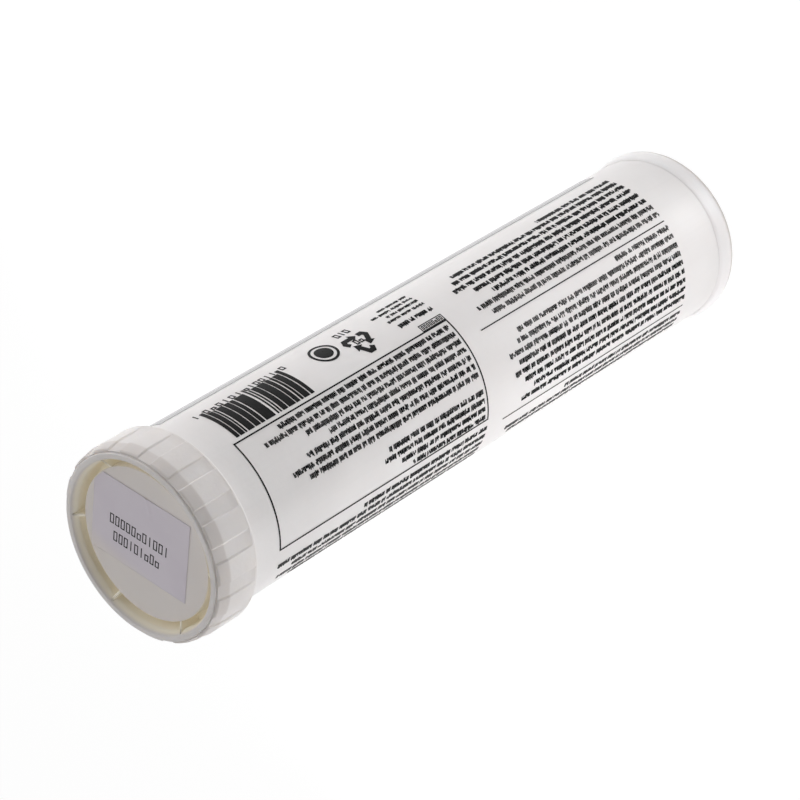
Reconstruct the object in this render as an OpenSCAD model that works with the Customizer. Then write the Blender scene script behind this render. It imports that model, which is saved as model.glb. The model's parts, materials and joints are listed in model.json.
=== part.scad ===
// Grease cartridge for a grease gun, standing on the rim of its outlet lid.
// +Z runs up from that rim to the cap over the follower. The printed face looks along -Y.

/* [Cartridge] */
// Height from the rim it stands on to the lip of the cap
cartridge_h = 234; // [228:1:300]

/* [Tube] */
// Outer diameter of the tube
tube_d = 53.5; // [50:0.5:60]
// Wall of the tube
tube_wall = 0.8; // [0.6:0.1:1.2]

/* [Cap] */
// Height of the cap's skirt below its lip
skirt_h = 14.6; // [12:0.2:20]
// Number of grip pads round the skirt
pad_count = 16; // [8:1:24]
// Share of each pitch that a grip pad takes up
pad_share = 0.6; // [0.3:0.05:0.8]
// Height of a grip pad above the skirt
pad_h = 0.45; // [0.2:0.05:0.8]
// Height of the sloping band below the lip
slope_h = 3.9; // [2:0.1:5]
// How far the sloping band draws in
slope_in = 0.75; // [0.3:0.05:1.4]
// Height of the lip above the sloping band
lip_h = 0.5; // [0.4:0.1:1.4]
// How far the lip's inner side leans out over the plug
lip_lean = 0.95; // [0.3:0.05:1.2]
// Wall of the plug that goes inside the tube
plug_wall = 0.8; // [0.6:0.1:1.2]
// Width of the moat between the plug and the raised middle
moat_w = 2.2; // [1.5:0.1:4]
// Depth of the moat's floor below the lip
moat_depth = 8; // [5:0.2:10]
// Depth of the raised middle below the lip
middle_depth = 2.45; // [1.5:0.05:4]
// Thickness of the raised middle and the moat's floor
web = 1.2; // [0.8:0.1:2]
// Number of ribs across the moat
rib_count = 6; // [3:1:12]
// Thickness of a rib
rib_t = 0.8; // [0.5:0.1:1.5]

/* [Cap label] */
// Length of the paper label
label_l = 32; // [20:1:34]
// Width of the paper label
label_w = 26; // [10:1:28]
// Thickness of the paper label
label_t = 0.1; // [0.08:0.01:0.2]

/* [Outlet lid] */
// Height of the lid's skirt over the tube
lid_skirt_h = 6.4; // [5:0.2:9]
// Wall of the lid's skirt at its thin edge
lid_wall = 0.5; // [0.4:0.05:0.9]
// How far the rim stands out past the tube
rim_out = 1.15; // [0.8:0.05:2]
// Height at which the rim is widest
rim_wide_z = 3.1; // [2.6:0.1:4]
// Depth of the lid's face inside the rim
lid_recess = 1.2; // [0.5:0.1:2]
// Thickness of the lid's plate
lid_plate_t = 1.2; // [0.8:0.1:2]
// Height of the lid's plug inside the tube, above its face
lid_plug_h = 6; // [3:0.2:9]
// Wall of the lid's plug
lid_plug_wall = 0.8; // [0.6:0.1:1.2]

/* [Follower] */
// Height of the follower
follower_h = 16; // [12:0.5:24]
// Wall of the follower
follower_wall = 1.2; // [0.9:0.1:2]
// Thickness of the follower's floor
follower_floor_t = 1.2; // [0.9:0.1:2]
// How far the wiping lips stand out from the follower's side
wiper_out = 0.55; // [0.3:0.05:0.9]
// Room between the follower and the moat's underside
follower_room = 3.8; // [1:0.1:8]

/* [Print] */
// Distance from the rim to the start of the long text rows
rows_start = 24.4; // [16:0.1:28]
// Distance from the cap's skirt to the frame's end
frame_end = 11.2; // [6:0.1:16]
// Room between the long rows and the frame
panel_gap = 7.4; // [4:0.1:10]
// Height of a text row
row_h = 1.95; // [1.2:0.05:2]
// Spacing of the long text rows
row_pitch = 2.9; // [2.4:0.05:3.2]
// Spacing of the rows inside the frame
frame_pitch = 2.68; // [2.2:0.02:2.8]
// Thickness of the ink
ink_t = 0.06; // [0.04:0.01:0.1]

/* [Hidden] */
$fn = 96;
tiny = 0.05;

// Clearances
ink_gap = 0.02;
seat_gap = 0.2;
plug_gap = 0.2;
skirt_gap = 0.2;
lid_gap = 0.1;
wiper_gap = 0.1;
grease_gap = 0.3;

// Tube
tube_r = tube_d / 2;
bore_r = tube_r - tube_wall;
lid_floor = lid_recess + lid_plate_t;
tube_z0 = lid_recess + lid_plate_t / 2 + seat_gap;

// Cap, with heights counted down from its lip
skirt_bore_r = tube_r + skirt_gap;
lip_over = 0.5;
lip_r = skirt_bore_r + lip_over;
shade_groove = 0.3;
shoulder = 0.15;
shoulder_r = lip_r + shade_groove + shoulder;
skirt_r = shoulder_r + slope_in;
pad_sunk = 0.5;
plug_r = bore_r - plug_gap;
moat_r = plug_r - plug_wall;
middle_r = moat_r - moat_w;
lip_round = 0.3;
lean_h = 2.2;
rib_down = 0.6;
channel_top = lip_h + shade_groove + tube_wall;
tube_z1 = cartridge_h - channel_top - seat_gap;
edge_bead_h = 1;
edge_round = 0.25;
moat_under = moat_depth + web;
pad_turn = 8.4;
rib_turn = 48.5;
cap_edge_z = cartridge_h - skirt_h;

// Cap label, seen from above
label_turn = 40;
label_at = [1.8, -1.2];
label_row_h = 3.2;
label_row_l = [22, 17.4];
label_row_at = [[1.9, -1.3], [2.6, 4]];
label_ink_t = 0.04;

// Outlet lid
rim_r = tube_r + rim_out;
lid_bore_r = tube_r + lid_gap;
lid_skirt_r = lid_bore_r + lid_wall;
lid_plug_r = bore_r - plug_gap;
lid_plug_z = lid_recess + lid_plug_h;
rim_foot_in = 0.9;
lid_edge_round = 0.15;

// Follower, with its grease below it
follower_z1 = cartridge_h - moat_under - follower_room;
follower_z0 = follower_z1 - follower_h;
wiper_r = bore_r - wiper_gap;
follower_r = wiper_r - wiper_out;
wiper_h = 1.6;
wiper_tip = 0.5;
grease_z0 = lid_floor + grease_gap;
grease_r = lid_plug_r - lid_plug_wall - grease_gap;
grease_wide_r = bore_r - wiper_gap;
grease_step = lid_plug_z + grease_gap;

// Print: heights above the rim, and arcs in millimetres round the tube from the front.
// Each row's length is given by how far it falls short of its panel
front = 270;
frame_z1 = cap_edge_z - frame_end;
rows_l = (frame_z1 - rows_start - panel_gap) / 2;
frame_z0 = rows_start + rows_l + panel_gap;
frame_l = frame_z1 - frame_z0;
frame_line = 0.45;
rule_line = 0.35;

// Long rows, in three groups with a rule between one and the next
long_short = [52.2, 8.2, 6.2, 3.2, 9.2, 14.2, 4.2, 8.2];
middle_short = [61.2, 12.2, 10.2, 5.2, 8.2, 5.7, 9.2, 13.2, 7.7];
lower_short = [30.2, 3.2, 6.2, 9.2, 2.2];
rule_before = [2.9, 3.3];
rule_after = [2.3, 2.8];
long_a0 = -26;
long_rule_a = long_a0 + row_pitch * (len(long_short) - 1) + rule_before[0];
middle_a0 = long_rule_a + rule_after[0];
middle_rule_a = middle_a0 + row_pitch * (len(middle_short) - 1) + rule_before[1];
lower_a0 = middle_rule_a + rule_after[1];

// Frame, with its two groups of rows, and the rows past its lower side
frame_short = [13, 6, 20, 27, 16, 9, 14];
frame_tail_l = [41, 43.5, 36.5, 32];
under_frame_short = [34.7, 0.2, 6.7, 2.2, 8.2];
frame_inset = 1.5;
frame_head = 2.4;
frame_break = 5.3;
frame_foot = 1.6;
under_frame_gap = 3;
frame_a0 = -11;
frame_rows_a0 = frame_a0 + frame_head;
frame_tail_a0 = frame_rows_a0 + frame_pitch * (len(frame_short) - 1) + frame_break;
frame_a1 = frame_tail_a0 + frame_pitch * (len(frame_tail_l) - 1) + frame_foot;
under_frame_a0 = frame_a1 + under_frame_gap;

// Column of marks beside the frame, its arcs counted out from the frame's upper side
side_l = [12.5, 17.5, 13.5, 15.5];
side_out = 15.4;
side_pitch = 2.2;
side_h = 1.25;
side_bold_l = 14.5;
side_bold_out = 5.6;
code_l = 9.8;
code_h = 2.4;
code_line = 0.25;
barcode_in = 2.6;
barcode_l = 31;
barcode_out = [1.1, 13.5];
bar_shares = [1.3, 1.7, 0.6, 2.4, 2, 1.4, 3.6, 0.6, 0.6, 1.9, 2.7, 1.5, 0.9, 2.2, 1.3];
gap_shares = [0.35, 0.35, 0.5, 0.35, 0.35, 0.5, 0.9, 0.5, 0.5, 0.35, 0.35, 0.5, 0.35, 0.45];
middle_bar = 7;
guard_out = 1.6;
mark_out = 14.8;
mark_h = 2.1;
mark_share = 0.62;
mark_beyond = 1.6;
stamp_h = 24;
ring_out = 11.4;
ring_r = 4.5;
ring_line = 0.8;
dot_share = 0.62;
triangle_out = 8;
triangle_r = 5.7;
triangle_line = 1.6;

// The ring and the arrows share out the room between the bars and the side rows
stamp_room = frame_l - barcode_in - barcode_l - 2 * ring_r - 2 * triangle_r - max(side_l);
ring_share = 0.63;
triangle_share = 0.07;
ring_in = barcode_in + barcode_l + ring_share * stamp_room + ring_r;
triangle_in = ring_in + ring_r + triangle_share * stamp_room + triangle_r;

// Field of ink on the hidden side, which begins just past the upper outline
back_gap = 6.6;
back_w = 80;
back_start = 2.8;
back_end = 6.1;
back_a1 = long_a0 - row_h / 2 - back_gap;

// Angle in degrees that an arc in millimetres takes round the tube
function turn(arc) = arc / tube_r * 180 / PI;

// Lengths that fall short of a whole length
function short_of(whole, shorts) = [for (s = shorts) whole - s];

// Quarter circle of points about a centre, from one angle to another
function arc_points(centre, r, from, to, steps = 5) =
    [for (i = [0:steps]) let (a = from + (to - from) * i / steps)
        centre + r * [cos(a), sin(a)]];

module tube() {
    color([0.93, 0.92, 0.92])
        difference() {
            translate([0, 0, tube_z0]) cylinder(r = tube_r, h = tube_z1 - tube_z0);
            translate([0, 0, tube_z0 - 1]) cylinder(r = bore_r, h = tube_z1 - tube_z0 + 2);
        }
}

// The lid is a plate with a plug inside the tube and a flared skirt outside it
module outlet_lid() {
    foot_r = rim_r - rim_foot_in;
    foot_bore_r = lid_plug_r - lid_plug_wall;
    color([0.90, 0.88, 0.83])
        rotate_extrude()
            polygon(concat(
                [[0, lid_recess], [foot_bore_r, lid_recess], [foot_bore_r + lid_edge_round, 0]],
                [for (a = [-90:15:0]) [foot_r + rim_foot_in * cos(a), rim_wide_z * (1 + sin(a))]],
                [[lid_skirt_r, lid_skirt_h - lid_edge_round],
                 [lid_skirt_r - lid_edge_round, lid_skirt_h], [lid_bore_r, lid_skirt_h],
                 [lid_bore_r, tube_z0 - seat_gap], [lid_plug_r, tube_z0 - seat_gap],
                 [lid_plug_r, lid_plug_z], [lid_plug_r - lid_plug_wall, lid_plug_z],
                 [lid_plug_r - lid_plug_wall, lid_floor], [0, lid_floor]]));
}

module grease() {
    color([0.85, 0.78, 0.62])
        rotate_extrude()
            polygon([[0, grease_z0], [grease_r, grease_z0], [grease_r, grease_step],
                [grease_wide_r, grease_step], [grease_wide_r, follower_z0 - grease_gap],
                [0, follower_z0 - grease_gap]]);
}

// One wiping lip, tapered to its tip
module wiper(z, way) {
    translate([0, 0, z])
        mirror([0, 0, way < 0 ? 1 : 0])
            rotate_extrude()
                polygon([[follower_r - follower_wall / 2, 0], [wiper_r - wiper_tip, 0],
                    [wiper_r, wiper_tip], [wiper_r, wiper_h - wiper_tip],
                    [follower_r - follower_wall / 2, wiper_h]]);
}

// The follower is a cup that the gun's plunger seats in
module follower() {
    color([0.88, 0.86, 0.80])
        union() {
            translate([0, 0, follower_z0])
                difference() {
                    cylinder(r = follower_r, h = follower_h);
                    translate([0, 0, follower_floor_t])
                        cylinder(r = follower_r - follower_wall, h = follower_h);
                }
            wiper(follower_z0, 1);
            wiper(follower_z1, -1);
        }
}

// Skirt, plug, moat and raised middle in one section, heights counted down from the lip
module cap_section() {
    polygon(concat(
        [[0, -middle_depth], [middle_r - lip_round, -middle_depth],
         [middle_r, -middle_depth - lip_round], [middle_r, -moat_depth],
         [moat_r, -moat_depth], [moat_r, -lean_h]],
        arc_points([moat_r + lip_lean + lip_round, -lip_round], lip_round, 160, 90),
        arc_points([lip_r - lip_round, -lip_round], lip_round, 90, 0),
        [[lip_r, -lip_h - shade_groove], [lip_r + shade_groove, -lip_h - shade_groove],
         [lip_r + shade_groove, -lip_h],
         [shoulder_r, -lip_h], [skirt_r, -lip_h - slope_h],
         [skirt_r, edge_bead_h - skirt_h], [skirt_r + pad_h, edge_bead_h - edge_round - skirt_h],
         [skirt_r + pad_h, edge_round - skirt_h], [skirt_r + pad_h - edge_round, -skirt_h],
         [skirt_bore_r, -skirt_h], [skirt_bore_r, -channel_top], [plug_r, -channel_top],
         [plug_r, -moat_under], [middle_r - web, -moat_under],
         [middle_r - web, -middle_depth - web], [0, -middle_depth - web]]));
}

// Section of one grip pad, sunk a little into the skirt behind it
module pad_section() {
    pad_edge_z = edge_bead_h - edge_round - skirt_h - tiny;
    polygon([[shoulder_r - pad_sunk, -lip_h - slope_h / 2],
        [shoulder_r, -lip_h - tiny], [shoulder_r + pad_h / 2, -lip_h - tiny],
        [shoulder_r + pad_h, -lip_h - pad_h], [skirt_r + pad_h, -lip_h - slope_h],
        [skirt_r + pad_h, pad_edge_z], [skirt_r - pad_sunk, pad_edge_z],
        [skirt_r - pad_sunk, -lip_h - slope_h]]);
}

// A rib climbs from the raised middle to the lip's inner side
module rib() {
    root = middle_r - web / 2;
    plug_middle = moat_r + plug_wall / 2;
    rotate([90, 0, 0])
        translate([0, 0, -rib_t / 2])
            linear_extrude(rib_t)
                polygon([[root, -moat_depth - web / 2], [plug_middle, -moat_depth - web / 2],
                    [plug_middle, -lean_h], [plug_middle + lip_lean * (1 - rib_down / lean_h), -rib_down],
                    [root, -middle_depth - lip_round]]);
}

module cap() {
    pad_angle = 360 / pad_count * pad_share;
    color([0.88, 0.86, 0.82])
        translate([0, 0, cartridge_h]) {
            rotate_extrude() cap_section();
            for (i = [0:pad_count - 1])
                rotate([0, 0, pad_turn + 360 / pad_count * i - pad_angle / 2])
                    rotate_extrude(angle = pad_angle) pad_section();
            for (i = [0:rib_count - 1])
                rotate([0, 0, rib_turn + 360 / rib_count * i]) rib();
        }
}

module on_label() {
    translate([label_at[0], label_at[1], cartridge_h - middle_depth])
        rotate([0, 0, label_turn]) children();
}

// The paper is trimmed where it would reach past the raised middle
module cap_label() {
    color([0.86, 0.83, 0.90])
        intersection() {
            on_label() translate([-label_l / 2, -label_w / 2, 0]) cube([label_l, label_w, label_t]);
            translate([0, 0, cartridge_h - middle_depth - label_t])
                cylinder(r = middle_r - lip_round, h = 3 * label_t);
        }
}

module label_rows() {
    color([0.12, 0.12, 0.13])
        on_label()
            for (i = [0:len(label_row_l) - 1])
                translate([label_row_at[i][0] - label_row_l[i] / 2, label_row_at[i][1], label_t])
                    cube([label_row_l[i], label_row_h, label_ink_t]);
}

// A patch of ink from one height to another and from one arc to another
module ink(z0, z1, a0, a1) {
    rotate([0, 0, front - turn(a1)])
        rotate_extrude(angle = turn(a1 - a0))
            translate([tube_r + ink_gap, z0]) square([ink_t, z1 - z0]);
}

// Rows of print that start at one height and lie side by side round the tube
module rows(z0, lengths, a0, pitch, h) {
    for (i = [0:len(lengths) - 1])
        ink(z0, z0 + lengths[i], a0 + pitch * i - h / 2, a0 + pitch * i + h / 2);
}

// A flat shape laid on the tube as ink, its own x running round the tube
module stamp(z, a) {
    intersection() {
        difference() {
            translate([0, 0, z - stamp_h / 2]) cylinder(r = tube_r + ink_gap + ink_t, h = stamp_h);
            translate([0, 0, z - stamp_h]) cylinder(r = tube_r + ink_gap, h = 2 * stamp_h);
        }
        rotate([0, 0, front - turn(a)])
            translate([0, 0, z]) rotate([90, 0, 90]) linear_extrude(2 * tube_r) children();
    }
}

module black() {
    color([0.1, 0.1, 0.11]) children();
}

module long_rows() {
    black() rows(rows_start, short_of(rows_l, long_short), long_a0, row_pitch, row_h);
}

module middle_rows() {
    black() rows(rows_start, short_of(rows_l, middle_short), middle_a0, row_pitch, row_h);
}

module lower_rows() {
    black() {
        rows(rows_start, short_of(rows_l, lower_short), lower_a0, row_pitch, row_h);
        rows(frame_z0, short_of(frame_l, under_frame_short), under_frame_a0, row_pitch, row_h);
    }
}

module rules() {
    black()
        for (a = [long_rule_a, middle_rule_a])
            ink(rows_start, rows_start + rows_l, a - rule_line / 2, a + rule_line / 2);
}

// An outline of ink: a patch with a window cut through it
module ink_outline(z0, z1, a0, a1, line) {
    difference() {
        ink(z0, z1, a0, a1);
        rotate([0, 0, front - turn(a1 - line)])
            rotate_extrude(angle = turn(a1 - a0 - 2 * line))
                translate([tube_r - ink_t, z0 + line])
                    square([ink_gap + 3 * ink_t, z1 - z0 - 2 * line]);
    }
}

module frame_lines() {
    black() ink_outline(frame_z0, frame_z1, frame_a0, frame_a1, frame_line);
}

module frame_rows() {
    z0 = frame_z0 + frame_inset;
    black() {
        rows(z0, short_of(frame_l - 2 * frame_inset, frame_short), frame_rows_a0, frame_pitch, row_h);
        rows(z0, frame_tail_l, frame_tail_a0, frame_pitch, row_h);
    }
}

module code_box() {
    z1 = frame_z0 + code_l;
    a1 = frame_a0 - tiny;
    in = 2 * code_line;
    black() {
        ink_outline(frame_z0, z1, a1 - code_h, a1, code_line);
        ink(frame_z0 + in, z1 - in, a1 - code_h + in, a1 - in);
    }
}

// Made-up bars. Three of them reach out further: the first, the middle one and the last
function sum_to(list, i) = i < 0 ? 0 : list[i] + sum_to(list, i - 1);
last_bar = len(bar_shares) - 1;
share_l = barcode_l / (sum_to(bar_shares, last_bar) + sum_to(gap_shares, last_bar - 1));
function bar_in(i) = share_l * (sum_to(bar_shares, i - 1) + sum_to(gap_shares, i - 1));
function bar_end(i) = bar_in(i) + share_l * bar_shares[i];

module barcode() {
    z1 = frame_z1 - barcode_in;
    black()
        for (i = [0:last_bar])
            ink(z1 - bar_end(i), z1 - bar_in(i),
                frame_a0 - barcode_out[1] - (i % middle_bar == 0 ? guard_out : 0),
                frame_a0 - barcode_out[0]);
}

// Small plain marks beside the bars: six in each half, and one past either end
module barcode_marks() {
    z1 = frame_z1 - barcode_in;
    a = frame_a0 - mark_out;
    halves = [[bar_end(0), bar_in(middle_bar)], [bar_end(middle_bar), bar_in(last_bar)]];
    pitch = (halves[0][1] - halves[0][0]) / 6;
    middles = concat([-mark_beyond, barcode_l + mark_beyond],
        [for (half = halves, i = [0:5]) half[0] + (half[1] - half[0]) * (i + 0.5) / 6]);
    w = pitch * mark_share;
    black()
        for (m = middles) ink(z1 - m - w / 2, z1 - m + w / 2, a - mark_h / 2, a + mark_h / 2);
}

// A plain ring with a dot in it
module ring_mark() {
    black()
        stamp(frame_z1 - ring_in, frame_a0 - ring_out) {
            difference() {
                circle(r = ring_r);
                circle(r = ring_r - ring_line);
            }
            circle(r = ring_r * dot_share);
        }
}

// Three bent arrows that follow each other round a triangle
module recycling_mark() {
    black()
        stamp(frame_z1 - triangle_in, frame_a0 - triangle_out)
            for (i = [0:2])
                rotate(120 * i + 180) one_arrow();
}

// A point of the left side, carried round to the side before it
function on_side_before(p) = [p[0] * cos(120) - p[1] * sin(120), p[0] * sin(120) + p[1] * cos(120)];

// From its tail on the side before, round a cut corner, to its head on the left side
module one_arrow() {
    r = triangle_r / 2;
    side = triangle_r * sqrt(3);
    w = triangle_line / 2;
    mitre = w * tan(30);
    tail = 0.2 * side;
    bend = 0.36 * side;
    head = 2.2 * w;
    head_y = -0.08 * side;
    polygon([on_side_before([-r - w, tail]), on_side_before([-r - w, bend + mitre]),
        [-r - w, -bend - mitre], [-r - w, head_y], [-r - head, head_y],
        [-r, head_y + 1.2 * head], [-r + head, head_y], [-r + w, head_y], [-r + w, mitre - bend],
        on_side_before([-r + w, bend - mitre]), on_side_before([-r + w, tail])]);
}

// Small rows beside the frame, the last one bold
module side_rows() {
    black() {
        rows(frame_z0, side_l, frame_a0 - side_out, side_pitch, side_h);
        rows(frame_z0, [side_bold_l], frame_a0 - side_bold_out, 0, row_h);
    }
}

module back_panel() {
    color([0.58, 0.58, 0.59])
        ink(rows_start - back_start, cap_edge_z - back_end, back_a1 - back_w, back_a1);
}

tube();
outlet_lid();
grease();
follower();
cap();
cap_label();
label_rows();
long_rows();
middle_rows();
lower_rows();
rules();
frame_lines();
frame_rows();
code_box();
barcode();
barcode_marks();
ring_mark();
recycling_mark();
side_rows();
back_panel();
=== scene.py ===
import json
import math
import random

import bmesh
import bpy
from mathutils import Matrix, Vector


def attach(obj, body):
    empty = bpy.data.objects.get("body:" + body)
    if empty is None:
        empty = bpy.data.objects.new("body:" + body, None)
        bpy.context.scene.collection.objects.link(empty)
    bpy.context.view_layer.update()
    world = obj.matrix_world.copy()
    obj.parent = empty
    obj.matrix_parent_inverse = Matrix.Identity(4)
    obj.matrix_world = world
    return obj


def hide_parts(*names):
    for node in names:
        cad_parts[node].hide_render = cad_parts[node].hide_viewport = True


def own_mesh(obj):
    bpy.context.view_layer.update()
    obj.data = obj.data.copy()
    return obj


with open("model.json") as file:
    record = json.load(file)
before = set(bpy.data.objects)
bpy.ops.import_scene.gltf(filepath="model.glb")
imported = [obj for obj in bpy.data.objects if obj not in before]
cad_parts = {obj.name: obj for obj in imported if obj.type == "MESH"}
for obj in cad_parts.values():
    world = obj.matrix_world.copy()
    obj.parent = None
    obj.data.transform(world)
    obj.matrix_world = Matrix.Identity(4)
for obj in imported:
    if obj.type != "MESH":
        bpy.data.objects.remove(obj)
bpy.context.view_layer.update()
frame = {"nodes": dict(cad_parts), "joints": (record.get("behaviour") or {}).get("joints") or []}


# Tube
# A straight length of extruded white PVC with a 0.8 mm wall, milky enough to hide the grease
# that fills it. The die leaves faint lines along it, and its tone is a little uneven.

class Value:
    """What one node of a finish gives. Arithmetic on it adds Math nodes."""

    def __init__(self, finish, socket):
        self.finish = finish
        self.socket = socket

    def maths(self, operation, first, second=0.0):
        return self.finish.node("Math", {"operation": operation}, {0: first, 1: second})

    def __add__(self, other):
        return self.maths("ADD", self, other)

    def __sub__(self, other):
        return self.maths("SUBTRACT", self, other)

    def __mul__(self, other):
        return self.maths("MULTIPLY", self, other)

    def __rsub__(self, other):
        return self.maths("SUBTRACT", other, self)

    __radd__ = __add__
    __rmul__ = __mul__

    def larger(self, other):
        return self.maths("MAXIMUM", self, other)

    def rise(self, low, high):
        """0 below low and 1 above high, with a smooth step between them."""
        return self.finish.node("MapRange", {"interpolation_type": "SMOOTHSTEP"},
                                {"Value": self, "From Min": low, "From Max": high})


class Finish:
    """A procedural material, or the world's light, built node by node."""

    def __init__(self, owner):
        self.owner = owner
        owner.use_nodes = True
        self.tree = owner.node_tree
        self.tree.nodes.clear()

    def node(self, kind, settings=None, sockets=None, output=0):
        made = self.tree.nodes.new("ShaderNode" + kind)
        for name, setting in (settings or {}).items():
            setattr(made, name, setting)
        for name, value in (sockets or {}).items():
            if isinstance(value, Value):
                self.tree.links.new(value.socket, made.inputs[name])
            else:
                made.inputs[name].default_value = value
        return Value(self, made.outputs[output])

    def place(self, stretch=(1, 1, 1)):
        """The point on the object at rest, in metres, with each axis stretched."""
        point = self.node("TexCoord", output="Object")
        return self.node("VectorMath", {"operation": "MULTIPLY"}, {0: point, 1: stretch})

    def axis(self, name):
        return self.node("SeparateXYZ", {}, {"Vector": self.place()}, name)

    def grain(self, scale, detail=2.0, stretch=(1, 1, 1)):
        """Noise around 0.5, its scale in waves per metre."""
        return self.node("TexNoise", {}, {"Vector": self.place(stretch), "Scale": scale,
                                          "Detail": detail})

    def blend(self, share, first, second):
        return self.node("Mix", {"data_type": "RGBA"}, {0: share, 6: first, 7: second}, 2)

    def bump(self, height, depth):
        """A surface relief whose full height is depth, in metres."""
        return self.node("Bump", {}, {"Height": height, "Distance": depth})

    def end(self, shader, kind="OutputMaterial"):
        made = self.tree.nodes.new("ShaderNode" + kind)
        self.tree.links.new(shader.socket, made.inputs["Surface"])
        return self.owner

    def surface(self, sockets):
        return self.end(self.node("BsdfPrincipled", {}, sockets))


def paint(red, green, blue):
    """A colour in the 0 to 255 steps of a paint chart, as linear values for a shader."""
    steps = [c / 255 for c in (red, green, blue)]
    return (*[((c + 0.055) / 1.055) ** 2.4 for c in steps], 1.0)


pvc = Finish(bpy.data.materials.new("tube_pvc"))
cloud = pvc.grain(22, 3)
die_lines = pvc.grain(900, 2, (1, 1, 0.02))
peel = pvc.grain(420, 2)
pvc_tone = pvc.blend(cloud.rise(0.3, 0.7), paint(231, 226, 225), paint(238, 234, 233))
pvc_tone = pvc.blend(die_lines.rise(0.45, 0.75) * 0.12, pvc_tone, paint(226, 223, 222))
frame["nodes"]["tube"].material_slots[0].material = pvc.surface({
    "Base Color": pvc_tone,
    "Roughness": 0.27 + 0.1 * peel,
    "Subsurface Weight": 0.2,
    "Subsurface Radius": (0.003, 0.0026, 0.0024),
    "Subsurface Scale": 1.0,
    "Normal": pvc.bump(die_lines * 0.4 + peel, 0.00003),
})


# Outlet lid
# A thin moulded polyethylene lid with a flared rim, pressed over the end that goes to the
# gun's head. Its plug holds it inside the tube. A hand pulls it off before the cartridge is
# loaded. Sizes are in mm.

MM = 0.001


def eased(corners, steps=5):
    """Rounds the corners of a section. Each corner is (radius, height, pad share, fillet)."""
    points = []
    last = len(corners) - 1
    for i, corner in enumerate(corners):
        here, fillet = Vector(corner[:3]), corner[3]
        if i in (0, last) or not fillet:
            points.append(here)
            continue
        before, after = (Vector(corners[j][:3]) for j in (i - 1, i + 1))
        start = here + (before - here).normalized() * fillet
        end = here + (after - here).normalized() * fillet
        for step in range(steps + 1):
            t = step / steps
            points.append(start * (1 - t) ** 2 + here * 2 * t * (1 - t) + end * t * t)
    return points


def turned(section, angles, swell=None):
    """Vertices and faces of a section spun round the axis, both ends of it on the axis.
    swell is the height of a pad at each angle, which each point takes its share of."""
    swell = swell or [0.0] * len(angles)
    count = len(angles)
    rings = section[1:-1]
    vertices = [(0, 0, section[0][1])]
    for radius, height, share in rings:
        for angle, pad in zip(angles, swell):
            r = radius + share * pad
            vertices.append((r * math.cos(angle), r * math.sin(angle), height))
    vertices.append((0, 0, section[-1][1]))
    faces = []
    for i in range(count):
        j = (i + 1) % count
        faces.append((0, 1 + i, 1 + j))
        for ring in range(len(rings) - 1):
            low, high = 1 + ring * count, 1 + (ring + 1) * count
            faces.append((low + i, high + i, high + j, low + j))
        end = 1 + (len(rings) - 1) * count
        faces.append((end + i, len(vertices) - 1, end + j))
    return vertices, faces


def even_turn(count):
    return [2 * math.pi * i / count for i in range(count)]


def add_piece(name, vertices, faces, finish, body, slot, *nodes, smooth=True):
    """A closed mesh in mm as a new piece of the object, in place of CAD nodes."""
    mesh = bpy.data.meshes.new(name)
    mesh.from_pydata([Vector(v) * MM for v in vertices], [], faces)
    whole = bmesh.new()
    whole.from_mesh(mesh)
    bmesh.ops.recalc_face_normals(whole, faces=whole.faces)
    whole.to_mesh(mesh)
    whole.free()
    mesh.shade_smooth() if smooth else mesh.shade_flat()
    mesh.materials.append(finish)
    piece = bpy.data.objects.new(name, mesh)
    bpy.context.scene.collection.objects.link(piece)
    if smooth:
        piece.modifiers.new("even_shading", "WEIGHTED_NORMAL").weight = 60
    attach(piece, body)
    if nodes:
        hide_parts(*nodes)
    return piece


lid = Finish(bpy.data.materials.new("lid_polyethylene"))
lid_cloud = lid.grain(60, 3)
lid_peel = lid.grain(700, 2)
lid_tone = lid.blend(lid_cloud.rise(0.3, 0.7), paint(252, 246, 245), paint(254, 250, 249))
# Painted shade: the lowest 2 mm of the rim, which curves down towards the floor, is painted
# darker.
lid_tone = lid.blend(1 - lid.axis("Z").rise(0.0008, 0.002), lid_tone, paint(214, 206, 201))
lid_plastic = lid.surface({
    "Base Color": lid_tone,
    "Roughness": 0.34 + 0.12 * lid_peel,
    "Specular IOR Level": 0.9,
    "Subsurface Weight": 0.3,
    "Subsurface Radius": (0.004, 0.0034, 0.003),
    "Subsurface Scale": 1.0,
    "Normal": lid.bump(lid_peel, 0.00003),
})
rim_foot, rim_out, rim_wide = 27.0, 0.9, 3.1
rim_curve = [(rim_foot + rim_out * math.cos(math.radians(a)),
              rim_wide * (1 + math.sin(math.radians(a))), 0, 0) for a in range(-90, 1, 6)]
gate_r, gate_z = 1.6, 0.9
line_in, line_out, line_z = 12.0, 12.7, 1.0
face_z, plate_z, foot_in = 1.2, 2.4, 25.1
lid_plug_in, lid_plug_out, lid_plug_z, lid_seat_z = 24.95, 25.75, 7.2, 1.6
lid_skirt_in, lid_skirt_out, lid_skirt_z, lid_taper = 26.77, 27.4, 6.4, 1.0
lid_section = eased([
    (0, gate_z, 0, 0), (gate_r, gate_z, 0, 0.1), (gate_r, face_z, 0, 0.1),
    (line_in, face_z, 0, 0.1), (line_in, line_z, 0, 0.08), (line_out, line_z, 0, 0.08),
    (line_out, face_z, 0, 0.1), (lid_plug_in, face_z, 0, 0.25), (foot_in, 0, 0, 0.15)
] + rim_curve + [
    (lid_skirt_out, lid_skirt_z - lid_taper, 0, 0.5), (lid_skirt_in + 0.04, lid_skirt_z, 0, 0.02),
    (lid_skirt_in, lid_skirt_z, 0, 0), (lid_skirt_in, lid_seat_z, 0, 0),
    (lid_plug_out, lid_seat_z, 0, 0), (lid_plug_out, lid_plug_z, 0, 0.2),
    (lid_plug_in, lid_plug_z, 0, 0.2), (lid_plug_in, plate_z, 0, 0.3), (0, plate_z, 0, 0)])
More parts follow.
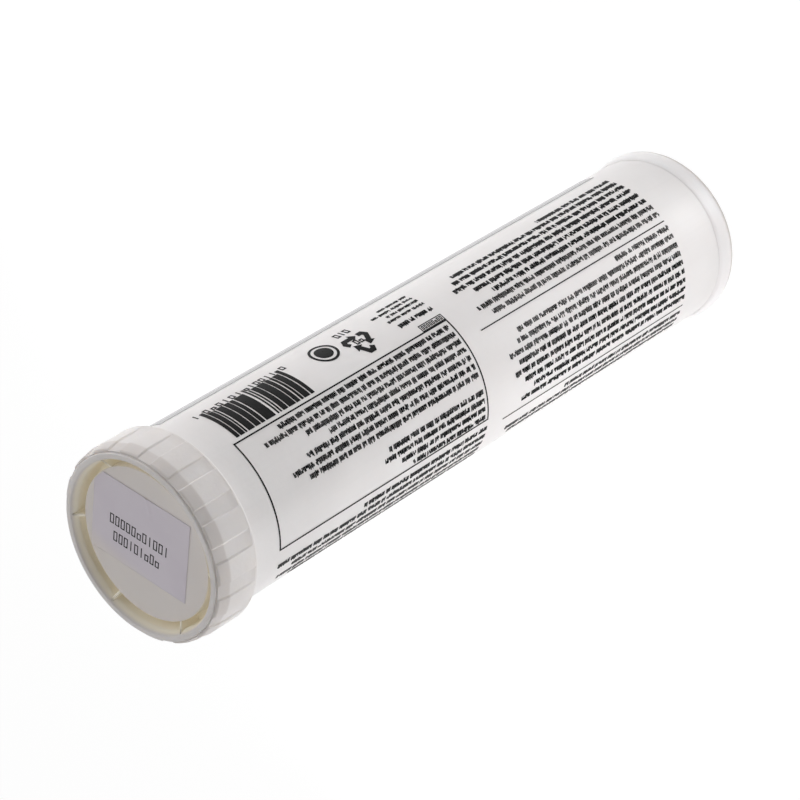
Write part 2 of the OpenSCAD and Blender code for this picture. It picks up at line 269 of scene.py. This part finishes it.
add_piece("lid_moulding", *turned(lid_section, even_turn(192)), lid_plastic,
          "outlet_lid", "lid_plastic", "outlet_lid")


# Grease
# The charge of soft lithium grease between the outlet lid and the follower. In the real
# cartridge it shortens as the follower comes down, because what the follower pushes leaves by
# the outlet; here it keeps its length.

soft = Finish(bpy.data.materials.new("soft_grease"))
smear = soft.grain(180, 4)
grease_look = soft.surface({
    "Base Color": soft.blend(smear.rise(0.3, 0.7), paint(214, 196, 152), paint(226, 211, 172)),
    "Roughness": 0.22 + 0.15 * smear,
    "Subsurface Weight": 0.3,
    "Subsurface Radius": (0.004, 0.003, 0.0015),
    "Subsurface Scale": 1.0,
    "Normal": soft.bump(smear, 0.0004),
})
slide = next(j for j in frame["joints"] if j["name"] == "follower_slide")
grease_r, grease_low, grease_high, grease_round = 24.65, 2.7, 204.7, 0.6
grease_section = eased([(0, grease_low, 0, 0), (grease_r, grease_low, 0, grease_round),
                        (grease_r, grease_high, 0, grease_round), (0, grease_high, 0, 0)])
grease = add_piece("grease_charge", *turned(grease_section, even_turn(96)), grease_look,
                   "tube", "grease", "grease")
grease_length = grease_high - grease_low
1 - slide["range_m"][1] / MM / grease_length
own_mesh(grease)


# Follower
# A polyethylene cup with two wiping lips, pushed into the tube on top of the grease. The
# gun's plunger seats in the cup and drives it down the tube.

cup = Finish(bpy.data.materials.new("follower_polyethylene"))
cup_peel = cup.grain(600, 2)
cup_cloud = cup.grain(70, 3)
frame["nodes"]["follower"].material_slots[0].material = cup.surface({
    "Base Color": cup.blend(cup_cloud.rise(0.3, 0.7), paint(222, 217, 206), paint(229, 225, 216)),
    "Roughness": 0.38 + 0.12 * cup_peel,
    "Subsurface Weight": 0.2,
    "Subsurface Radius": (0.003, 0.0026, 0.002),
    "Subsurface Scale": 1.0,
    "Normal": cup.bump(cup_peel, 0.00004),
})


# Cap
# A moulded polyethylene cap, pulled on over the follower's end of the tube. It has a thin
# lip, a moat with six ribs round a raised middle, and sixteen grip pads round its skirt. The
# moat has painted light, a glow and a lighter colour, in place of light through the milky
# plastic, and where the tube doesn't back the cap it is painted darker, as painted shade.

cap_top = 234.0
pad_count, pad_turn, pad_high = 16, math.radians(8.4), 0.45
pad_half = math.radians(6.75)
pad_edge = math.radians(0.45)
pad_pitch = 2 * math.pi / pad_count


def pad_height(angle):
    off = abs((angle - pad_turn + pad_pitch / 2) % pad_pitch - pad_pitch / 2)
    t = min(1.0, max(0.0, (pad_half + pad_edge - off) / (2 * pad_edge)))
    return pad_high * t * t * (3 - 2 * t)


edge_steps = [pad_half + pad_edge * s for s in (-1.6, -1, -0.5, 0, 0.5, 1, 1.6)]
half_steps = [pad_half * s for s in (0.2, 0.45, 0.7)] + edge_steps + [pad_pitch / 2 * 0.82]
cap_angles = sorted(pad_turn + pad_pitch * i + side * step
                    for i in range(pad_count) for side in (-1, 1) for step in half_steps)
disc_r, disc_down, disc_under = 22.75, 2.45, 3.65
moat_r, moat_down, moat_under, moat_under_r = 24.95, 8.0, 9.2, 21.55
lip_in, lip_out, lean_down = 25.9, 27.45, 2.2
groove_r, groove_down, shoulder_down = 27.6, 0.85, 0.7
slope_r, slope_down = 28.65, 4.4
skirt_r, skirt_down, skirt_in = 29.1, 14.6, 26.95
plug_r, tube_top_down = 25.75, 1.6
cap_corners = [
    (0, disc_down, 0, 0), (disc_r, disc_down, 0, 0.35), (disc_r, moat_down, 0, 0.5),
    (moat_r, moat_down, 0, 0.5), (moat_r, lean_down, 0, 0.5), (lip_in, 0, 0, 0.3),
    (lip_out, 0, 0, 0.35), (lip_out, groove_down, 0, 0.06), (groove_r, groove_down, 0, 0.06),
    (groove_r + 0.08, shoulder_down, 0, 0.06), (27.9, 0.78, 0.5, 0.1), (28.0, 1.15, 1, 0.2),
    (slope_r, slope_down, 1, 0.6), (28.8, 12.0, 0.67, 1.0), (29.05, 13.7, 0.1, 0.3),
    (skirt_r, 13.95, 0, 0.1), (skirt_r, skirt_down, 0, 0.25),
    (skirt_in, skirt_down, 0, 0.2), (skirt_in, tube_top_down, 0, 0.1),
    (plug_r, tube_top_down, 0, 0.1), (plug_r, moat_under, 0, 0.25),
    (moat_under_r, moat_under, 0, 0.25), (moat_under_r, disc_under, 0, 0.3),
    (0, disc_under, 0, 0)]
cap_section = eased([(r, cap_top - down, share, fillet)
                     for r, down, share, fillet in cap_corners])
cap_vertices, cap_faces = turned(cap_section, cap_angles, [pad_height(a) for a in cap_angles])

rib_count, rib_turn, rib_half, rib_round, rib_sunk = 6, math.radians(48.5), 0.4, 0.15, 0.4
rib_path = [(disc_r - rib_sunk, disc_down + 0.35), (disc_r + 0.1, disc_down + 0.05),
            (moat_r + 0.9, 0.55)]
rib_low = cap_top - moat_down - rib_sunk
for i in range(rib_count):
    angle = rib_turn + 2 * math.pi * i / rib_count
    out = Vector((math.cos(angle), math.sin(angle), 0))
    across = Vector((-math.sin(angle), math.cos(angle), 0))
    first = len(cap_vertices)
    for r, down in rib_path:
        high = cap_top - down
        foot_r = min(r, moat_r + rib_sunk)
        profile = [(foot_r, -rib_half, rib_low), (r, -rib_half, high - rib_round),
                   (r, -rib_half + rib_round, high), (r, rib_half - rib_round, high),
                   (r, rib_half, high - rib_round), (foot_r, rib_half, rib_low)]
        cap_vertices += [tuple(out * where + across * a + Vector((0, 0, z)))
                         for where, a, z in profile]
    corners = len(profile)
    last = first + corners * (len(rib_path) - 1)
    cap_faces += [tuple(first + k for k in range(corners)),
                  tuple(last + k for k in reversed(range(corners)))]
    cap_faces += [(at + k, at + (k + 1) % corners, at + corners + (k + 1) % corners,
                   at + corners + k)
                  for at in range(first, last, corners) for k in range(corners)]

moulded = Finish(bpy.data.materials.new("cap_polyethylene"))
cap_cloud = moulded.grain(45, 3)
cap_peel = moulded.grain(800, 2)
# Painted light: the moat glows a little and is painted lighter, in place of light through the
# milky plastic.
moat_painted_glow = (0.062, 0.056, 0.043, 1)
from_axis = moulded.node("VectorMath", {"operation": "LENGTH"},
                         {0: moulded.place((1, 1, 0))}, "Value")
height = moulded.axis("Z")
in_moat = from_axis.rise(0.0226, 0.0229) * (1 - from_axis.rise(0.0256, 0.026))
below_lip = 1 - height.rise(0.2325, 0.234)
painted_moat_light = in_moat * below_lip
cap_tone = moulded.blend(cap_cloud.rise(0.3, 0.7), paint(228, 223, 221), paint(236, 231, 229))
on_disc = 1 - from_axis.rise(0.0225, 0.0228)
cap_tone = moulded.blend(on_disc * 0.6, cap_tone, paint(234, 225, 219))
cap_tone = moulded.blend(painted_moat_light, cap_tone, paint(248, 241, 224))
# Painted shade: the outer band of the cap above the tube's end, which the tube doesn't back, is
# painted darker.
painted_unbacked_shade = height.rise(0.2292, 0.22985) * from_axis.rise(0.0275, 0.02765)
cap_tone = moulded.blend(painted_unbacked_shade * 0.5, cap_tone, paint(209, 201, 197))
cap_look = moulded.surface({
    "Base Color": cap_tone,
    "Roughness": 0.36 + 0.14 * cap_peel,
    "Subsurface Weight": 0.25,
    "Subsurface Radius": (0.003, 0.0026, 0.002),
    "Subsurface Scale": 1.0,
    # The moat's painted glow.
    "Emission Color": moulded.blend(painted_moat_light, (0, 0, 0, 1), moat_painted_glow),
    "Emission Strength": 1.0,
    "Normal": moulded.bump(cap_peel + 0.6 * cap_cloud, 0.00004),
})
add_piece("cap_moulding", cap_vertices, cap_faces, cap_look, "cap", "cap_plastic", "cap")


# Cap label
# A white paper sticker with a batch mark, laid on the cap's raised middle by hand. It has a
# small crease near its upper edge, and its tone is warmer toward the opposite edge.

label_turn, label_middle = math.radians(40), Vector((1.8, -1.2, cap_top - disc_down))
label_long, label_shift, label_wide, label_thick = 35.0, 1.5, 26.0, 0.08
label_along = Vector((math.cos(label_turn), math.sin(label_turn), 0))
label_across = Vector((-math.sin(label_turn), math.cos(label_turn), 0))
label_trim = 22.3
crease_lean, crease_wide, crease_long, crease_high = 0.35, 0.5, 8, 0.22
edge_from, edge_lift, waves, paper_gap = 11, 0.05, 0.015, 0.02


def label_lift(u, v):
    """How far the paper stands off the cap, in mm: a crease, and edges that barely lift."""
    off = (u + 0.5 + crease_lean * (v + 11.5)) / crease_wide
    crease = math.exp(-off ** 2) * (1 - min(1, (v + label_wide / 2) / crease_long) ** 2)
    lift = crease_high * max(0.0, crease)
    lift += edge_lift * max(0.0, (-v - edge_from) / 2) ** 2
    return paper_gap + lift + waves * (1 + math.sin(0.7 * u + 0.3) * math.sin(0.5 * v))


def on_label(u, v, up):
    spot = label_middle + label_along * u + label_across * v
    reach = math.hypot(spot.x, spot.y)
    if reach > label_trim:
        spot.x, spot.y = spot.x * label_trim / reach, spot.y * label_trim / reach
    return spot + Vector((0, 0, label_lift(u, v) + up))


columns, rows_across = 96, 78
label_vertices, label_faces = [], []
for up in (0.0, label_thick):
    label_vertices += [on_label(label_shift + label_long * (i / columns - 0.5),
                                label_wide * (j / rows_across - 0.5), up)
                       for j in range(rows_across + 1) for i in range(columns + 1)]
layer = (columns + 1) * (rows_across + 1)
for j in range(rows_across):
    for i in range(columns):
        a = j * (columns + 1) + i
        b = a + columns + 1
        label_faces += [(a, b, b + 1, a + 1), tuple(layer + k for k in (a, a + 1, b + 1, b))]
border = list(range(columns))
border += [j * (columns + 1) + columns for j in range(rows_across)]
border += [rows_across * (columns + 1) + i for i in range(columns, 0, -1)]
border += [j * (columns + 1) for j in range(rows_across, 0, -1)]
for a, b in zip(border, border[1:] + border[:1]):
    label_faces.append((a, b, layer + b, layer + a))

paper = Finish(bpy.data.materials.new("label_paper"))
fibre = paper.grain(1400, 3)
handled = paper.grain(90, 3)
paper_tone = paper.blend(handled.rise(0.35, 0.7) * 0.5, paint(226, 219, 227),
                         paint(219, 211, 221))
toward_corner = 0.2 * label_along + 0.8 * label_across
corner_start = toward_corner.dot(label_middle) * MM
corner_reach = paper.node("VectorMath", {"operation": "DOT_PRODUCT"},
                          {0: paper.place(), 1: toward_corner}, "Value") - corner_start
paper_tone = paper.blend(corner_reach.rise(0.008, 0.014) * 0.85, paper_tone, paint(233, 225, 221))
label_look = paper.surface({
    "Base Color": paper_tone,
    "Roughness": 0.5 + 0.15 * fibre,
    "Normal": paper.bump(fibre, 0.00002),
})
add_piece("paper_label", label_vertices, label_faces, label_look, "cap", "label_paper",
          "cap_label")


# Print on the tube and the label
# One colour of screen ink, with a grey glossy field on the back. Text is left as rows of plain
# upright strokes, in runs as long as words, and figures and letters that stand alone as small
# open boxes. The heavy lines, bars and marks are the CAD's own films.

ink = Finish(bpy.data.materials.new("screen_ink"))
coverage = ink.grain(1500, 2)
ink_look = ink.surface({
    "Base Color": ink.blend(coverage.rise(0.4, 0.75), paint(9, 9, 10), paint(22, 22, 23)),
    "Roughness": 0.25 + 0.08 * coverage,
    "Specular IOR Level": 0.12,
    "Normal": ink.bump(coverage, 0.00001),
})
for film in ("rules", "frame_lines", "barcode", "ring_mark", "recycling_mark"):
    frame["nodes"][film].material_slots[0].material = ink_look

tube_r, film_low, film_high = 26.75, -0.02, 0.08


def patches(node):
    """A CAD node's patches of ink as (low, high, from, to): heights, and arcs round the tube.
    They come in the order of their arcs, and of their heights where they share an arc."""
    whole = bmesh.new()
    whole.from_mesh(frame["nodes"][node].data)
    bmesh.ops.remove_doubles(whole, verts=whole.verts, dist=1e-6)
    found, left = [], set(whole.verts)
    while left:
        group, edge = [], [left.pop()]
        while edge:
            here = edge.pop()
            group.append(here.co / MM)
            fresh = {e.other_vert(here) for e in here.link_edges} & left
            left -= fresh
            edge += fresh
        arcs = [tube_r * -(math.atan2(p.y, p.x) + math.pi / 2) for p in group]
        heights = [p.z for p in group]
        found.append((min(heights), max(heights), min(arcs), max(arcs)))
    whole.free()
    return sorted(found, key=lambda patch: (round(patch[2], 3), patch[0]))


def word_run(rng, low, high, weight=1.0, bold=(0, 0)):
    """Strokes along a row as (start, end, foot, head), with foot and head as shares of the row."""
    strokes, z = [], low
    while z < high - 0.4:
        for _ in range(rng.choice((4, 5, 7, 8, 10, 12, 14, 16, 18, 22, 26))):
            heavy = weight * (1.3 if bold[0] <= z <= bold[1] else 1.0)
            width = rng.choice((0.2, 0.24, 0.28, 0.32, 0.38)) * heavy
            if z + width > high:
                break
            foot, head = rng.choice(((0.12, 0.84), (0.12, 0.84), (0.12, 0.84), (0.12, 0.84),
                                     (0.12, 0.84), (0.12, 1), (0.12, 1), (0, 0.84), (0.12, 0.55),
                                     (0.45, 0.84)))
            strokes.append((z, z + width, foot, head))
            z += width + rng.uniform(0.08, 0.15) / heavy
        z += rng.uniform(0.45, 0.65)
    return strokes


def round_tube(z, arc, up):
    angle = -math.pi / 2 - arc / tube_r
    r = tube_r + up
    return Vector((r * math.cos(angle), r * math.sin(angle), z))


def box_mesh(boxes, place, low, high):
    """Closed boxes of film from (start, end, from, to), laid on a surface by place."""
    vertices, faces = [], []
    for start, end, side, other in boxes:
        n = len(vertices)
        vertices += [place(a, b, up) for up in (low, high)
                     for a, b in ((start, side), (end, side), (end, other), (start, other))]
        faces += [(n, n + 1, n + 2, n + 3), (n + 7, n + 6, n + 5, n + 4)]
        faces += [(n + k, n + 4 + k, n + 4 + (k + 1) % 4, n + (k + 1) % 4) for k in range(4)]
    return vertices, faces


unprinted_z, unprinted_arc = 60, 36
bold_runs = {("long_rows", 5): (35.6, 49.6), ("middle_rows", 6): (24.4, 42.6),
             ("middle_rows", 7): (24.4, 45.6), ("lower_rows", 1): (155.6, 173.6),
             ("side_rows", 4): (100, 140)}
# Weights above 1 make heavier rows; weights under 1 thin the strokes of the rows that the tube's
# highlight crosses, so that they print lighter: a painted highlight.
row_weights_and_highlight = {"long_rows": (1.15, 1.15, 1.15, 1.1, 1.1, 1.0, 0.8, 0.75),
               "middle_rows": (0.7, 0.7, 0.75, 0.8, 0.85, 0.9, 0.95, 1, 1),
               "lower_rows": (0.95,), "frame_rows": (0.95,), "side_rows": (0.85,)}
for seed, (node, weights) in enumerate(row_weights_and_highlight.items()):
    rng = random.Random(seed + 11)
    boxes = []
    for k, (low, high, side, other) in enumerate(patches(node)):
        if node == "lower_rows" and low < unprinted_z and side > unprinted_arc:
            continue
        weight = weights[min(k, len(weights) - 1)]
        for start, end, foot, head in word_run(rng, low, high, weight,
                                               bold_runs.get((node, k), (0, 0))):
            boxes.append((start, end, side + (other - side) * foot, side + (other - side) * head))
    add_piece(node + "_strokes", *box_mesh(boxes, round_tube, film_low, film_high), ink_look,
              "tube", "ink", node, smooth=False)


def plain_sign(rng, low, high, side, other, line):
    """A small open box, a half box over a gap or an upright, in place of one character."""
    tall = other - side
    kind = rng.choice(("box", "box", "box", "low", "upright"))
    if kind == "upright":
        middle = (low + high) / 2
        return [(middle - line / 2, middle + line / 2, side, other)]
    if kind == "low":
        side += tall * 0.35
    return [(low, low + line, side, other), (high - line, high, side, other),
            (low + line, high - line, side, side + line),
            (low + line, high - line, other - line, other)]


rng = random.Random(3)
mark_line = 0.38
mark_boxes = []
for low, high, side, other in patches("barcode_marks"):
    mark_boxes += plain_sign(rng, low, high, side, other, mark_line)
add_piece("barcode_signs", *box_mesh(mark_boxes, round_tube, film_low, film_high), ink_look,
          "tube", "ink", "barcode_marks", smooth=False)

rng = random.Random(8)
box_line, box_gap = 0.25, 0.25
low, high, side, other = max(patches("code_box"), key=lambda patch: patch[1] - patch[0])
code_boxes = [(low, high, side, side + box_line), (low, high, other - box_line, other),
              (low, low + box_line, side + box_line, other - box_line),
              (high - box_line, high, side + box_line, other - box_line)]
code_inset = box_line + box_gap
code_count, code_share, code_line = 8, 0.7, 0.24
code_pitch = (high - low - 2 * code_inset) / code_count
for i in range(code_count):
    at = low + code_inset + code_pitch * (i + 0.15)
    code_boxes += plain_sign(rng, at, at + code_pitch * code_share, side + code_inset,
                             other - code_inset, code_line)
add_piece("code_box_strokes", *box_mesh(code_boxes, round_tube, film_low, film_high), ink_look,
          "tube", "ink", "code_box", smooth=False)

arrows = patches("recycling_mark")
arrows_z = (min(p[0] for p in arrows) + max(p[1] for p in arrows)) / 2
arrows_a = min(p[2] for p in arrows)
beside_arrows = (arrows_a - 3.6, 1.5, 2.5, 1.95, 3)
within_arrows = (arrows_a + 2.9, 1.4, 2.3, 1.75, 2)
material_line = 0.4
material_boxes = []
for arc, wide, tall, pitch, count in (beside_arrows, within_arrows):
    for i in range(count):
        low = arrows_z + pitch * (i - (count - 1) / 2) - wide / 2
        material_boxes += plain_sign(rng, low, low + wide, arc, arc + tall, material_line)
add_piece("material_signs", *box_mesh(material_boxes, round_tube, film_low, film_high), ink_look,
          "tube", "ink", smooth=False)

rng = random.Random(5)
batch_line, batch_share, batch_ink = 0.34, 0.74, 0.03
batch_rows = ((-9.1, 12.9, -1.3, 1.9, 11), (-6.1, 11.3, 4.0, 7.2, 9))
label_boxes = []
for start, end, side, other, count in batch_rows:
    pitch = (end - start) / count
    for i in range(count):
        low = start + pitch * (i + 0.1)
        label_boxes += plain_sign(rng, low, low + pitch * batch_share, side, other, batch_line)
add_piece("label_strokes", *box_mesh(label_boxes, on_label, label_thick, label_thick + batch_ink),
          ink_look, "cap", "ink", "label_rows", smooth=False)

panel = Finish(bpy.data.materials.new("panel_ink"))
panel_coverage = panel.grain(900, 3)
frame["nodes"]["back_panel"].material_slots[0].material = panel.surface({
    "Base Color": panel.blend(panel_coverage.rise(0.35, 0.7), paint(148, 148, 150),
                              paint(156, 156, 158)),
    "Roughness": 0.1 + 0.05 * panel_coverage,
    "Normal": panel.bump(panel_coverage, 0.00001),
})


# Studio
# A plain white floor, soft light all round and a lit card on the floor in front, with the
# camera where the photograph was taken from. Places and sizes are in metres.

world = bpy.data.worlds.new("studio")
bpy.context.scene.world = world
sky = Finish(world)


def is_seen(finish):
    """1 for a ray from the camera, or one that a glossy or clear surface sends on."""
    return finish.node("LightPath", output="Is Camera Ray").larger(
        finish.node("LightPath", output="Is Glossy Ray")).larger(
        finish.node("LightPath", output="Is Transmission Ray"))


sky_level = 0.02
sky.end(sky.node("Background", {}, {"Color": (1, 1, 1, 1),
                                    "Strength": sky_level + (1 - sky_level) * is_seen(sky)}),
        "OutputWorld")

floor_paint = Finish(bpy.data.materials.new("studio_floor"))
lit = floor_paint.node("BsdfDiffuse", {}, {"Color": (0.85, 0.85, 0.85, 1)})
white = floor_paint.node("Emission", {}, {"Color": (1, 1, 1, 1), "Strength": 1.06})
floor_paint.end(floor_paint.node("MixShader", {},
                                 {0: is_seen(floor_paint) * 0.9, 1: lit, 2: white}))


def lay_flat(name, corners, height, finish):
    """A flat sheet of the studio, with its corners in order."""
    mesh = bpy.data.meshes.new(name)
    mesh.from_pydata([(x, y, height) for x, y in corners], [], [tuple(range(len(corners)))])
    mesh.materials.append(finish.owner)
    sheet = bpy.data.objects.new(name, mesh)
    bpy.context.scene.collection.objects.link(sheet)
    return sheet


floor_half = 4.0
lay_flat("studio_floor", ((-floor_half, -floor_half), (floor_half, -floor_half),
                          (floor_half, floor_half), (-floor_half, floor_half)), 0, floor_paint)


def soft_light(name, place, aim, size, watts):
    lamp = bpy.data.lights.new(name, "AREA")
    lamp.shape = "SQUARE"
    lamp.size = size
    lamp.energy = watts
    holder = bpy.data.objects.new(name, lamp)
    bpy.context.scene.collection.objects.link(holder)
    holder.location = place
    holder.visible_camera = False
    holder.visible_glossy = False
    holder.rotation_mode = "QUATERNION"
    holder.rotation_quaternion = (Vector(aim) - Vector(place)).to_track_quat("-Z", "Y")


low_aim, middle_aim = (0, 0, 0.02), (0, 0, 0.11)
soft_light("upper_side", (0.45, -0.15, 0.03), low_aim, 0.3, 1.25)
soft_light("lower_side", (-0.25, -0.12, 0.02), low_aim, 0.18, 0.6)
soft_light("front", (0, -0.5, 0.07), low_aim, 0.3, 0.5)
soft_light("upper_back", (0.22, 0.22, 0.02), low_aim, 0.2, 0.52)
soft_light("lower_back", (-0.22, 0.22, 0.02), low_aim, 0.2, 0.52)
soft_light("above_upper", (0.75, 0.1, 0.65), middle_aim, 0.7, 2.7)
soft_light("above_lower", (-0.75, 0.1, 0.65), middle_aim, 0.7, 2.0)
soft_light("above", (0, 0.1, 1.2), middle_aim, 0.7, 2.2)

card_glow = Finish(bpy.data.materials.new("card"))
card_glow.end(card_glow.node("Emission", {}, {"Color": (1, 1, 1, 1), "Strength": 2.2}))
near_half, near_y, far_half, far_y, card_z = 0.006, -0.034, 0.13, -0.36, 0.0012
card = lay_flat("card", ((-near_half, near_y), (near_half, near_y), (far_half, far_y),
                         (-far_half, far_y)), card_z, card_glow)
card.visible_camera = False

camera = bpy.data.objects.new("camera", bpy.data.cameras.new("camera"))
bpy.context.scene.collection.objects.link(camera)
right = (-0.51687, -0.56109, -0.64655)
up = (0.85606, -0.33648, -0.39235)
back = (0.00259, -0.75628, 0.65425)
camera.matrix_world = Matrix.Translation((0.0, -0.64818, 0.68987)) @ Matrix(
    (right, up, back)).transposed().to_4x4()
camera.data.sensor_width = 36.0
camera.data.lens = 134.33
bpy.context.scene.camera = camera
bpy.context.scene.view_settings.view_transform = "Standard"
